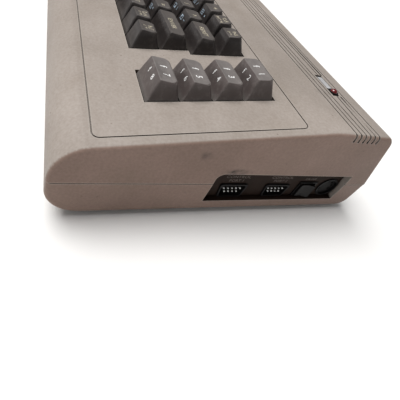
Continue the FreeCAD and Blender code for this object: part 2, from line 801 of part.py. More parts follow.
def make_lamp_plate():
    """Bare strip beside the lamp, in the same shallow slot."""
    x1 = lamp_x - lamp_r - 0.8
    y = around(lamp_y, lamp_slot_w / 2 - 0.2)
    return box(lamp_slot_x0 + 0.2, x1, *y, crest_z - 1.6, crest_z - 0.7)


def make_feet():
    places = [(x, y) for x in (-half_w + 26, half_w - 26) for y in (-half_d + 28, half_d - 24)]
    return group([cylinder(foot_r, feet_h, V(x, y, 0)) for x, y in places])


save("top_case", make_top_case())
save("bottom_case", make_bottom_case())
save("rubber_feet", make_feet())
save("case_screws", make_case_screws())
save("inner_screws", make_inner_screws())
save("keyboard_frame", make_keyboard_frame())
save("keyboard_circuit_board", make_keyboard_board())
save("space_bar_wire", make_space_bar_wire())
for node, shapes in caps.items():
    save(node, shapes[0] if len(shapes) == 1 else group(shapes))
save("main_circuit_board", make_main_board())
save("edge_contacts", make_edge_contacts())
large_chips = [(board_x0 + dx, board_y1 - dy) for dx, dy in ((42, 72), (68, 72), (94, 72), (204, 82))]
save("processor_chips", chips(large_chips, 52, 14, 4.2))
save("memory_chips", chips([(board_x0 + 228 + 14 * i, board_y0 + dy) for i in range(4) for dy in (20, 46)], 20, 7, 4.0))
save("logic_chips", chips([(board_x0 + 38 + 22 * i, board_y0 + 22) for i in range(6)], 20, 7, 4.0))
save("capacitors", make_capacitors())
save("heat_sink", make_heat_sink())
save("shield_sheet", make_shield())
save("modulator_box", make_modulator())
save("channel_selector", make_selector())
save("tv_socket", make_tv_socket())
save("av_socket", round_socket(V(av_x, half_d - 0.8, round_z), V(0, 1, 0), 5, 14))
save("serial_socket", round_socket(V(serial_x, half_d - 0.8, round_z), V(0, 1, 0), 6, 14))
save("cartridge_connector", make_cartridge_connector())
save("port_plate", make_port_plate())
save("control_port_1", make_control_port(port_1_y))
save("control_port_2", make_control_port(port_2_y))
save("control_port_pins", make_port_pins())
save("power_switch_body", make_switch_body())
save("power_switch_rocker", make_rocker())
save("power_socket", round_socket(V(plate_x + 0.8, power_y, power_z), V(1, 0, 0), 7, 13))
save("power_lamp", make_lamp())
save("lamp_plate", make_lamp_plate())

for name, shape in made.items():
    print(name, len(shape.Solids), "solids", shape.isValid(), round(shape.Volume / 1000, 2), "cm3")
print(len(made), "sub-parts")
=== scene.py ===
"""Looks of a wedge-shaped home computer: worn grey-beige case, dark sculptured keys, four wide grey ones."""

import json
import math

import bmesh
import bpy
from mathutils import Matrix, Vector


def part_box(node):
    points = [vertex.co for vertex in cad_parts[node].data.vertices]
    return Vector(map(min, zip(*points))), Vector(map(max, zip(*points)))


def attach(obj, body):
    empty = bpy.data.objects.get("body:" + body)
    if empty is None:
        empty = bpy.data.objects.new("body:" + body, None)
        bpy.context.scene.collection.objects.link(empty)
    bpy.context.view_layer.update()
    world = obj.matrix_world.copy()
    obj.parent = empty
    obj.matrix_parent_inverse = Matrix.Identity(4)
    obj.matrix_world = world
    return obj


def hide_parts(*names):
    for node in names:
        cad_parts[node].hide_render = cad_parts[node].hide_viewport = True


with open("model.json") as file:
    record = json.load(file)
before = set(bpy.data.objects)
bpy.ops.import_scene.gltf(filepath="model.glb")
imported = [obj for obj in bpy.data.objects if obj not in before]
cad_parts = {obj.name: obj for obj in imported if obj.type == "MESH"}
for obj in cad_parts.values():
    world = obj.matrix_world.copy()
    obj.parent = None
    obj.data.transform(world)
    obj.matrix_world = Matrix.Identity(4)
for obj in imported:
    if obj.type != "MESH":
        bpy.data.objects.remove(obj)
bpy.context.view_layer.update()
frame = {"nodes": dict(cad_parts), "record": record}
MM = 0.001

# Photograph and camera: focal length and centre in pixels of the 400 pixel frame
PHOTO_SIDE = 400
FOCAL_PX = 336.84
CENTRE_PX = (187.03, 142.98)
CAMERA_AT = Vector((0.302364, -0.108393, 0.151597))
CAMERA_RIGHT = Vector((0.262926, 0.905575, 0.332873))
CAMERA_UP = Vector((-0.704219, -0.055709, 0.707794))
SENSOR_MM = 36.0

# Floor in metres, light of the sky from its horizon up, and one broad light
FLOOR_SIDE = 60.0
HORIZON_AT = 0.04
OVERHEAD_AT = 0.30
HORIZON_LIGHT = 0.80
OVERHEAD_LIGHT = 0.18
LIGHT_RUNS = Vector((0.26, 0.34, -1.0))
LIGHT_SPREAD_DEG = 45
LIGHT_POWER = 3.6
LIGHT_COLOUR = (1.0, 0.985, 0.965)

# Keyboard, in millimetres in the deck's sloping frame: x, s up the slope, h off the deck
DECK_DEG = 8.5
DECK_Z0 = 61.7
UNIT = 19.05
CAP_GAP = 0.85
ROW_FRONT_S = -57.94
KEYS_X0 = -182.7
F_KEYS_X0 = 141.15
CAP_BASE_H = -1.5
CAP_SLOPE = 0.17
CAP_WALL = 1.3
PLUNGER = 5.6
PLUNGER_LOW_H = -12.0
ROOF_THICK = 2.6
INNER_ROOF_SHARE = 0.72
DISH_ACROSS = 0.85
DISH_ALONG = 0.45
SPACE_ROW = 5
SPACE_CROWN = 0.9
# front and rear height of the top, front and rear inset
ROW_SHAPE = {
    1: (12.0, 12.2, 5.2, 2.8),
    2: (10.6, 9.3, 6.0, 2.2),
    3: (10.6, 8.8, 5.6, 2.0),
    4: (11.6, 9.6, 6.6, 1.6),
    5: (10.6, 8.6, 6.0, 2.0),
}
# where each row starts and how wide its keys are, in units
ROW_KEYS = {
    1: (0.0, [1.0] * 16),
    2: (0.0, [1.5] + [1.0] * 13 + [1.5]),
    3: (-0.25, [1.0] * 14 + [2.0]),
    4: (-0.25, [1.0, 1.5] + [1.0] * 10 + [1.5, 1.0, 1.0]),
    5: (3.0, [9.0]),
}
F_KEY_WIDE = 1.5
# keys at the ends of a row that have their own joints
SINGLE_LEFT = {1: 0, 2: 0, 3: 2, 4: 2}
SINGLE_RIGHT = 4
CAP_ROUND = 0.6
# corner radius at the base and at the top, front pair and rear pair
FRONT_CORNER = (0.9, 1.2)
REAR_CORNER = (1.3, 3.8)
LEAST_CORNER = 0.25
CORNER_STEPS = 5
# where the outside stops below its rounded shoulder, and the closing rings of the dish
SHOULDER_SHARE = 0.93
SHOULDER_STEPS = 4
DISH_RINGS = (0.86, 0.70, 0.52, 0.34, 0.16)

# Grooves over the rear crest: where they start, photographed pitch over the solid's pitch, last and end
GROOVE_Y0 = 58.5
GROOVE_SCALE = 0.868
GROOVE_LAST_Y = 85.0
GROOVE_END_Y = 88.0
CREST_LOW_Z = 60.0
# left, right, front and rear of the lamp's slot, which stays where it is
LAMP_SLOT = (136.8, 161.2, 68.1, 75.9)

# Lamp, its ring and the bar on the strip beside it
CREST_Z = 68.5
LAMP_R = 2.6
LAMP_FOOT = 1.0
# height of the dome over its radius
LAMP_DOME = 0.9
DOME_STEPS = 8
TURNED_STEPS = 40
# radius over the lens's and height over the crest
RING_PROFILE = (
    (0.02, -1.55),
    (0.80, -1.55),
    (0.80, 0.15),
    (0.55, 0.55),
    (0.15, 0.55),
    (0.02, 0.30),
    (0.02, -1.55),
)
BAR_TRIM_X = 2.4
BAR_TRIM_Y = 2.6
BAR_THICK = 0.7
BAR_SHIFT = 0.4
BAR_RISE = 0.1
BAR_ROUND = 0.15

# Control ports and the print over them
PORTS = ((0.0, "PORT 1"), (31.8, "PORT 2"))
PIN_PITCH = 2.77
PIN_ROW_OFFSET = 1.42
PIN_R = 0.5
# a shaft is shorter than the pin by its round tip, and set back to match
PIN_SHORT = 0.6
PIN_BACK = 0.2
PORT_WORD_SIZE = 3.0
SWITCH_WORD_SIZE = 2.4
PORT_WORD_Z = 28.6
PORT_NUMBER_Z = 25.4
SWITCH_WORD_AT = (55.3, 27.4)
# dark sheet of painted shade along the recess's foot, in millimetres
SHADE_SHEET_SIZE = (3.6, 99.9, 0.15)
SHADE_SHEET_AT = (199.45, 32.15, 11.58)

# Plain generic legends, lower line first; an empty string is a bare key
LEGENDS = {
    1: [
        "<", "1/!", "2/\"", "3/#", "4/$", "5/%", "6/&", "7/'", "8/(", "9/)", "0",
        "+", "-", "*", "HOME/CLR", "DEL/INS",
    ],
    2: ["CTRL", "Q", "W", "E", "R", "T", "Y", "U", "I", "O", "P", "@", "/", "^", "RESET"],
    3: ["STOP", "LOCK/SHIFT", "A", "S", "D", "F", "G", "H", "J", "K", "L", ":/[", ";/]", "=", "ENTER"],
    4: ["", "SHIFT", "Z", "X", "C", "V", "B", "N", "M", ",/<", "./>", "?", "SHIFT", "UP/DN", "LT/RT"],
}
FUNCTION_KEYS = {1: "key_f1", 2: "key_f3", 3: "key_f5", 4: "key_f7"}
# letter and number: size, offset across, then offset up the top or share of the front
FUNCTION_TOP = ((5.6, -4.0, 0.2), (5.4, 4.0, 0.2))
FUNCTION_FRONT = ((5.0, -3.6, 0.70), (4.8, 3.6, 0.70))
LEGEND_BOLD = 0.06
LEGEND_MARGIN = 2.0
# sizes of a short and a long word, alone or one of two lines, and how far back each line stands
ONE_LINE_SIZES = (6.4, 4.6)
TWO_LINE_SIZES = (4.4, 3.6)
TWO_LINE_BACK = (-2.2, 2.0)
FUNCTION_BOLD = 0.05
LEGEND_LIFT = 0.05
MARK_SIZE = 3.6
STROKE_WIDE = 0.5
OUTLINE_WIDE = 0.45
MARK_ACROSS = 2.7
MARK_SHARE = 0.60
MARK_KINDS = 5

DECK_NORMAL = (0.0, -math.sin(math.radians(DECK_DEG)), math.cos(math.radians(DECK_DEG)))
# browner, darker tint for the end walls: partly grime, partly painted shade
WALL_SHADE_TINT = (0.74, 0.585, 0.53)
FALLING = ((1, 1, 1), (0, 0, 0))
# vertices this near are one, faces turned less than this are one panel, and a panel this many
# times larger than the next sets the normal alone
WELD = 2e-6
FLAT_DEG = 3.0
MUCH_LARGER = 5
NO_AREA = 1e-14
# edges that turn more than this stay sharp, in degrees
MOULD_SHARP = 32
KEY_SHARP = 50
TURNED_SHARP = 40
# dirt on the right wall and deck: place and radius in metres, stretch, depth
SMUDGES = (
    ((0.2000, -0.0064, 0.0370), 0.0095, (1.0, 1.0, 0.28), 0.95),
    ((0.2000, -0.0304, 0.0478), 0.0020, (1.0, 1.0, 1.0), 0.95),
    ((0.1600, 0.0600, 0.0680), 0.0050, (1.0, 1.0, 1.0), 0.45),
)


def deck_point(x, s, h):
    """Millimetres in the deck's frame to metres in the row frame."""
    a = math.radians(DECK_DEG)
    y = s * math.cos(a) - h * math.sin(a)
    z = DECK_Z0 + s * math.sin(a) + h * math.cos(a)
    return Vector((x, y, z)) * MM


def new_object(name, mesh, material, body):
    """A mesh in the scene with one material, riding on a body."""
    obj = bpy.data.objects.new(name, mesh)
    bpy.context.scene.collection.objects.link(obj)
    mesh.materials.clear()
    mesh.materials.append(material)
    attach(obj, body)
    return obj


def link(tree, a, b):
    """Joins an output to an input."""
    tree.links.new(a, b)


def node(tree, kind, **values):
    """A node with the named inputs or settings given."""
    n = tree.nodes.new(kind)
    for key, value in values.items():
        if key in n.inputs:
            n.inputs[key].default_value = value
        else:
            setattr(n, key, value)
    return n


def start_material(name, roughness, specular=0.4):
    """Empty surface with its shader and object coordinates."""
    m = bpy.data.materials.new(name)
    m.use_nodes = True
    t = m.node_tree
    shader = t.nodes["Principled BSDF"]
    shader.inputs["Roughness"].default_value = roughness
    shader.inputs["Specular IOR Level"].default_value = specular
    coords = t.nodes.new("ShaderNodeTexCoord")
    return m, t, shader, coords.outputs["Object"]


def noise(t, coords, scale, detail=4.0, rough=0.55):
    """Clouded value about 0.5 on the object's coordinates."""
    n = node(t, "ShaderNodeTexNoise", Scale=scale, Detail=detail, Roughness=rough)
    link(t, coords, n.inputs["Vector"])
    return n.outputs["Fac"]


def ramp(t, value, low, high, stops=None):
    """Maps a value between two positions to 0..1, or through colours."""
    r = t.nodes.new("ShaderNodeValToRGB")
    e = r.color_ramp.elements
    e[0].position = low
    e[1].position = high
    if stops:
        e[0].color = (*stops[0], 1)
        e[1].color = (*stops[1], 1)
    link(t, value, r.inputs["Fac"])
    return r.outputs["Color"]


def mix(t, factor, a, b, mode="MIX"):
    """Blends two colours; each may be a socket or a triple."""
    n = t.nodes.new("ShaderNodeMix")
    n.data_type = "RGBA"
    n.blend_type = mode
    for name, value in (("Factor", factor), ("A", a), ("B", b)):
        socket = n.inputs[name]
        if isinstance(value, (int, float)):
            socket.default_value = value
        elif isinstance(value, tuple):
            socket.default_value = (*value, 1)
        else:
            link(t, value, socket)
    return n.outputs["Result"]


def times(t, value, by):
    """Product of a socket and a number or another socket."""
    n = node(t, "ShaderNodeMath", operation="MULTIPLY")
    link(t, value, n.inputs[0])
    if isinstance(by, (int, float)):
        n.inputs[1].default_value = by
    else:
        link(t, by, n.inputs[1])
    return n.outputs[0]


def spread(t, value, start, end, first=0.0, last=1.0):
    """Maps a value from one range to another, held at both ends."""
    n = t.nodes.new("ShaderNodeMapRange")
    n.inputs["From Min"].default_value = start
    n.inputs["From Max"].default_value = end
    n.inputs["To Min"].default_value = first
    n.inputs["To Max"].default_value = last
    link(t, value, n.inputs["Value"])
    return n.outputs[0]


def along_axis(t, coords, axis):
    """One coordinate of the three."""
    n = t.nodes.new("ShaderNodeSeparateXYZ")
    link(t, coords, n.inputs[0])
    return n.outputs[axis]


def grey(value):
    """A colour with no hue."""
    return (value, value, value)


def dimmed(colour, share):
    """A colour at a share of its brightness."""
    return tuple(c * share for c in colour)


def bump(t, shader, height, strength, distance):
    """Small relief from a height socket; distance in metres."""
    b = node(t, "ShaderNodeBump", Strength=strength, Distance=distance)
    link(t, height, b.inputs["Height"])
    link(t, b.outputs["Normal"], shader.inputs["Normal"])


def facing(t, direction, low, high):
    """1 where the surface looks along a direction, falling to 0 at the sides."""
    normal = t.nodes.new("ShaderNodeNewGeometry")
    dot = node(t, "ShaderNodeVectorMath", operation="DOT_PRODUCT")
    link(t, normal.outputs["Normal"], dot.inputs[0])
    dot.inputs[1].default_value = direction
    return ramp(t, dot.outputs["Value"], low, high)


def crevice(t, reach, low, high):
    """Mask of painted shade and grime: 1 in seams and grooves narrower than the reach, 0 on open surfaces.
    """
    near = node(t, "ShaderNodeAmbientOcclusion", samples=6)
    near.inputs["Distance"].default_value = reach
    return ramp(t, near.outputs["AO"], low, high, FALLING)


def rubbed_edge(t, reach):
    """1 along edges sharper than the reach, 0 on flat and gently rounded surfaces."""
    rounded = node(t, "ShaderNodeBevel", samples=4)
    rounded.inputs["Radius"].default_value = reach
    plain = t.nodes.new("ShaderNodeNewGeometry")
    same = node(t, "ShaderNodeVectorMath", operation="DOT_PRODUCT")
    link(t, rounded.outputs["Normal"], same.inputs[0])
    link(t, plain.outputs["Normal"], same.inputs[1])
    return ramp(t, same.outputs["Value"], 0.93, 0.985, FALLING)


def smudge(t, coords, centre, radius, stretch):
    """A soft-edged spot at a place on the case, in metres."""
    place = node(t, "ShaderNodeMapping", vector_type="TEXTURE")
    place.inputs["Location"].default_value = centre
    place.inputs["Scale"].default_value = stretch
    link(t, coords, place.inputs["Vector"])
    reach = node(t, "ShaderNodeVectorMath", operation="LENGTH")
    link(t, place.outputs[0], reach.inputs[0])
    return ramp(t, reach.outputs["Value"], radius * 0.4, radius, FALLING)


def case_plastic():
    """Grey-beige moulded plastic: spark grain, uneven yellowing, grime, specks, rubbed edges, end walls
    tinted darker partly as painted shade, and painted shade in seams and grooves.
    """
    m, t, shader, coords = start_material("case_plastic", 0.60, 0.22)
    broad = noise(t, coords, 9.0, 3.0)
    tone = ramp(t, broad, 0.32, 0.68, ((0.325, 0.288, 0.262), (0.400, 0.355, 0.325)))
    cloudy = ramp(t, noise(t, coords, 34.0, 6.0, 0.65), 0.35, 0.75, ((0.86, 0.85, 0.83), (1.0, 1.0, 1.0)))
    tone = mix(t, 1.0, tone, cloudy, "MULTIPLY")
    fine = ramp(t, noise(t, coords, 700.0, 2.0), 0.30, 0.70, ((0.86, 0.85, 0.84), (1.0, 1.0, 1.0)))
    tone = mix(t, 1.0, tone, fine, "MULTIPLY")
    # the end walls are tinted browner and darker: partly grime, partly painted shade on the sides away from
    # the light
    for direction in ((1, 0, 0), (-1, 0, 0)):
        end_wall_shade = facing(t, direction, 0.30, 0.70)
        tone = mix(t, end_wall_shade, tone, mix(t, 1.0, tone, WALL_SHADE_TINT, "MULTIPLY"))
    # patches of soil, thicker toward the foot
    patch = ramp(t, noise(t, coords, 26.0, 9.0, 0.72), 0.50, 0.74)
    soil = times(t, spread(t, along_axis(t, coords, "Z"), 0.075, 0.004), patch)
    tone = mix(t, times(t, soil, 0.55), tone, (0.20, 0.15, 0.11))
    # streaks wiped along the wall
    wipe = node(t, "ShaderNodeMapping", Scale=(1.0, 14.0, 90.0))
    link(t, coords, wipe.inputs["Vector"])
    streak = ramp(t, noise(t, wipe.outputs[0], 3.0, 5.0, 0.6), 0.55, 0.80)
    tone = mix(t, times(t, streak, 0.22), tone, (0.22, 0.17, 0.13))
    # small dark specks
    cells = node(t, "ShaderNodeTexVoronoi", Scale=85.0)
    link(t, coords, cells.inputs["Vector"])
    speck = ramp(t, cells.outputs["Distance"], 0.025, 0.060, FALLING)
    tone = mix(t, times(t, speck, 0.6), tone, (0.14, 0.10, 0.08))
    for centre, radius, stretch, depth in SMUDGES:
        spot = smudge(t, coords, centre, radius, stretch)
        rough = times(t, spot, ramp(t, noise(t, coords, 260.0, 5.0, 0.7), 0.35, 0.62))
        tone = mix(t, times(t, rough, depth), tone, (0.045, 0.035, 0.030))
    tone = mix(t, times(t, rubbed_edge(t, 0.0012), 0.40), tone, (0.46, 0.43, 0.39))
    # painted shade, with some grime, darkens seams and grooves found by occlusion
    tone = mix(t, times(t, crevice(t, 0.0022, 0.35, 0.80), 0.92), tone, (0.035, 0.026, 0.020))
    link(t, tone, shader.inputs["Base Color"])
    gloss = ramp(t, noise(t, coords, 14.0, 5.0), 0.3, 0.7, (grey(0.52), grey(0.68)))
    link(t, gloss, shader.inputs["Roughness"])
    bump(t, shader, noise(t, coords, 1500.0, 2.0), 0.30, 0.00012)
    return m


def key_plastic(name, side, top, dust, roughness):
    """Keycap plastic: dark sides, a paler top that is partly dust and partly painted sheen, pale rubbed
    edges.
    """
    m, t, shader, coords = start_material(name, roughness)
    tone = ramp(t, noise(t, coords, 60.0, 6.0, 0.6), 0.30, 0.72, (dimmed(side, 0.70), side))
    top_dust_and_sheen = ramp(t, noise(t, coords, 110.0, 6.0, 0.65), 0.30, 0.72, (dimmed(top, 0.72), top))
    # tops facing up off the deck are painted paler: partly dust, partly painted sheen
    tone = mix(t, facing(t, DECK_NORMAL, 0.80, 0.97), tone, top_dust_and_sheen)
    film = ramp(t, noise(t, coords, 240.0, 5.0, 0.7), 0.52, 0.80)
    tone = mix(t, times(t, film, 0.25), tone, dust)
    edge = t.nodes.new("ShaderNodeNewGeometry")
    worn = ramp(t, edge.outputs["Pointiness"], 0.53, 0.64)
    tone = mix(t, times(t, worn, 0.55), tone, dust)
    link(t, tone, shader.inputs["Base Color"])
    smooth, matt = grey(roughness - 0.10), grey(roughness + 0.12)
    gloss = ramp(t, noise(t, coords, 90.0, 4.0), 0.3, 0.7, (smooth, matt))
    link(t, gloss, shader.inputs["Roughness"])
    bump(t, shader, noise(t, coords, 2200.0, 2.0), 0.22, 0.00008)
    return m


def plain_plastic(name, colour, roughness, grain=1400.0, specular=0.4):
    """Moulded plastic of one colour, with faint clouding and grain."""
    m, t, shader, coords = start_material(name, roughness, specular)
    tone = ramp(t, noise(t, coords, 80.0, 5.0), 0.30, 0.72, (dimmed(colour, 0.72), colour))
    link(t, tone, shader.inputs["Base Color"])
    bump(t, shader, noise(t, coords, grain, 2.0), 0.20, 0.00008)
    return m


def metal(name, colour, roughness, streak=(1.0, 1.0, 1.0)):
    """Bare metal with a fine grain, drawn out where it is stretched."""
    m, t, shader, coords = start_material(name, roughness, 0.5)
    shader.inputs["Metallic"].default_value = 1.0
    place = node(t, "ShaderNodeMapping", Scale=streak)
    link(t, coords, place.inputs["Vector"])
    grain = noise(t, place.outputs[0], 700.0, 3.0)
    link(t, ramp(t, grain, 0.3, 0.7, (dimmed(colour, 0.75), colour)), shader.inputs["Base Color"])
    rub = ramp(t, grain, 0.3, 0.7, (grey(roughness * 0.8), grey(roughness * 1.3)))
    link(t, rub, shader.inputs["Roughness"])
    bump(t, shader, grain, 0.10, 0.00004)
    return m


def legend_paint(name, colour, wear):
    """Printed legend, rubbed thin by fingers."""
    m, t, shader, coords = start_material(name, 0.55)
    rub = ramp(t, noise(t, coords, 700.0, 4.0, 0.7), 0.42, 0.70)
    tone = mix(t, times(t, rub, wear), colour, dimmed(colour, 0.35))
    link(t, tone, shader.inputs["Base Color"])
    return m


def lens_red():
    """Deep red glossy plastic, unlit."""
    m, t, shader, coords = start_material("red_lens", 0.12, 0.6)
    tone = ramp(t, noise(t, coords, 300.0, 3.0), 0.3, 0.7, ((0.10, 0.004, 0.006), (0.16, 0.008, 0.010)))
    link(t, tone, shader.inputs["Base Color"])
    shader.inputs["Coat Weight"].default_value = 0.6
    shader.inputs["Coat Roughness"].default_value = 0.05
    return m


def pin_finish():
    """Pins: dark along the shaft, with a near-white painted highlight at the tip."""
    m, t, shader, coords = start_material("pin_tips_painted_highlight", 0.30)
    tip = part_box("control_port_pins")[1][0]
    tip_highlight = spread(t, along_axis(t, coords, "X"), tip - 1.1 * MM, tip - 0.5 * MM)
    dark_shaft = ramp(t, noise(t, coords, 900.0, 3.0), 0.3, 0.7, ((0.030, 0.026, 0.020), (0.060, 0.052, 0.040)))
    link(t, mix(t, tip_highlight, dark_shaft, (0.95, 0.95, 0.94)), shader.inputs["Base Color"])
    return m


def board_lacquer():
    """Green lacquer with copper tracks just showing through."""
    m, t, shader, coords = start_material("board", 0.35)
    bricks = node(t, "ShaderNodeTexBrick", Scale=60.0)
    bricks.inputs["Color1"].default_value = (0.020, 0.110, 0.050, 1)
    bricks.inputs["Color2"].default_value = (0.028, 0.135, 0.062, 1)
    bricks.inputs["Mortar"].default_value = (0.060, 0.200, 0.090, 1)
    bricks.inputs["Mortar Size"].default_value = 0.03
    link(t, coords, bricks.inputs["Vector"])
    link(t, bricks.outputs["Color"], shader.inputs["Base Color"])
    bump(t, shader, bricks.outputs["Fac"], 0.15, 0.0001)
    return m


def floor_finish():
    """Nearly white matt paper."""
    m, t, shader, coords = start_material("floor", 0.7)
    tone = ramp(t, noise(t, coords, 3.0, 2.0), 0.3, 0.7, (grey(0.90), grey(0.92)))
    link(t, tone, shader.inputs["Base Color"])
    return m


BLACK = plain_plastic("black_plastic", (0.009, 0.008, 0.008), 0.50, specular=0.16)
RECESS = plain_plastic("recess_plastic", (0.024, 0.014, 0.010), 0.65, specular=0.10)
PIN = pin_finish()
# pale grey diffuse bar: painted reflection in place of the chrome strip's shine
BAR_PAINTED_REFLECTION = plain_plastic("bar_painted_reflection", (0.52, 0.52, 0.53), 0.35)
LENS = lens_red()
CREAM = legend_paint("legend_cream", (0.52, 0.47, 0.36), 0.85)
FUNCTION_WHITE = legend_paint("legend_function", (0.86, 0.86, 0.86), 0.30)
PRINT = legend_paint("recess_print", (0.085, 0.060, 0.048), 0.6)
FACE_MARK = legend_paint("face_mark", (0.42, 0.52, 0.62), 0.35)

SLOT_FINISH = {
    "case_plastic": case_plastic(),
    "keycap": key_plastic(
        "keycap",
        side=(0.036, 0.030, 0.029),
        top=(0.095, 0.083, 0.077),
        dust=(0.20, 0.18, 0.165),
        roughness=0.42,
    ),
    "function_key": key_plastic(
        "function_key",
        side=(0.108, 0.088, 0.084),
        top=(0.190, 0.172, 0.166),
        dust=(0.34, 0.32, 0.30),
        roughness=0.44,
    ),
    "rubber": plain_plastic("rubber", (0.020, 0.020, 0.020), 0.85, 500.0),
    "screw_steel": metal("screw_steel", (0.50, 0.50, 0.51), 0.35),
    "black_plastic": BLACK,
    "board": board_lacquer(),
    "contact_metal": metal("contact_metal", (0.72, 0.66, 0.50), 0.25),
    "can_metal": metal("can_metal", (0.62, 0.63, 0.64), 0.38, (1.0, 8.0, 1.0)),
    "shield": metal("shield", (0.52, 0.53, 0.54), 0.45, (1.0, 6.0, 1.0)),
    "recess_plastic": RECESS,
    "red_lens": LENS,
    "grey_strip": plain_plastic("grey_strip", (0.060, 0.056, 0.055), 0.40),
}
NODE_SLOT = {s["node"]: s["material_slot"] for s in frame["record"]["subparts"]}
BODY_OF = {}
for body_name, members in frame["record"]["behaviour"]["bodies"].items():
    for member in members:
        BODY_OF[member] = body_name


def shade(mesh, sharp_deg):
    """Smooth shading, kept sharp past an angle."""
    for p in mesh.polygons:
        p.use_smooth = True
    mesh.set_sharp_from_angle(angle=math.radians(sharp_deg))


def flat_panels(b, turn):
    """Panel number of each face, and each panel's normal as long as its area."""
    flat = math.radians(FLAT_DEG)
    panel = [-1] * len(b.faces)
    normals = []
    for first in b.faces:
        if panel[first.index] >= 0:
            continue
        panel[first.index] = len(normals)
        todo = [first]
        total = Vector()
        while todo:
            face = todo.pop()
            total += face.normal * face.calc_area()
            for edge in face.edges:
                if turn[edge] > flat:
                    continue
                for other in edge.link_faces:
                    if panel[other.index] < 0:
                        panel[other.index] = panel[first.index]
                        todo.append(other)
        normals.append(total)
    return panel, normals


def smooth_fan(vert, left, turn, sharp):
    """Takes from the faces left round a vertex those that meet without a sharp edge."""
    fan = [left.pop()]
    for face in fan:
        for edge in face.edges:
            if vert not in edge.verts or turn[edge] >= sharp:
                continue
            for other in edge.link_faces:
                if other in left:
                    left.remove(other)
                    fan.append(other)
    return fan


def planar_normals(b, sharp_deg):
    """One normal for each face corner: flat faces keep theirs and round parts run into them."""
    b.faces.index_update()
    b.normal_update()
    sharp = math.radians(sharp_deg)
    turn = {e: e.calc_face_angle(math.pi) if len(e.link_faces) == 2 else math.pi for e in b.edges}
    panel, normals = flat_panels(b, turn)
    at_corner = {}
    for vert in b.verts:
        left = set(vert.link_faces)
        while left:
            fan = smooth_fan(vert, left, turn, sharp)
            near = sorted({panel[face.index] for face in fan}, key=lambda k: -normals[k].length)
            total = normals[near[0]]
            if len(near) > 1 and total.length < MUCH_LARGER * normals[near[1]].length:
                total = sum((normals[k] for k in near), Vector())
            normal = total.normalized() if total.length > NO_AREA else fan[0].normal
            for face in fan:
                at_corner[face.index, vert.index] = normal
    return [at_corner[face.index, loop.vert.index] for face in b.faces for loop in face.loops]


def fit_grooves(b):
    """Draws the crest grooves together to the photographed pitch."""
    drawn_y = GROOVE_Y0 + (GROOVE_LAST_Y - GROOVE_Y0) * GROOVE_SCALE
    stretch = (GROOVE_END_Y - drawn_y) / (GROOVE_END_Y - GROOVE_LAST_Y)
    left, right, front, rear = LAMP_SLOT
    for v in b.verts:
        x, y, z = (c / MM for c in v.co)
        if z < CREST_LOW_Z or not GROOVE_Y0 < y < GROOVE_END_Y:
            continue
        if left < x < right and front < y < rear:
            continue
        if y < GROOVE_LAST_Y:
            v.co.y = (GROOVE_Y0 + (y - GROOVE_Y0) * GROOVE_SCALE) * MM
        else:
            v.co.y = (drawn_y + (y - GROOVE_LAST_Y) * stretch) * MM


def moulded_copy(name):
    """A CAD piece with its facets merged and its round parts shaded smooth."""
    mesh = frame["nodes"][name].data.copy()
    b = bmesh.new()
    b.from_mesh(mesh)
    bmesh.ops.remove_doubles(b, verts=b.verts, dist=WELD)
    if name == "top_case":
        fit_grooves(b)
    normals = planar_normals(b, MOULD_SHARP)
    b.to_mesh(mesh)
    b.free()
    mesh.name = name + "_look"
    for p in mesh.polygons:
        p.use_smooth = True
    mesh.normals_split_custom_set(normals)
    slot = NODE_SLOT[name]
    piece = new_object(name + "_look", mesh, SLOT_FINISH[slot], BODY_OF[name])
    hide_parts(name)


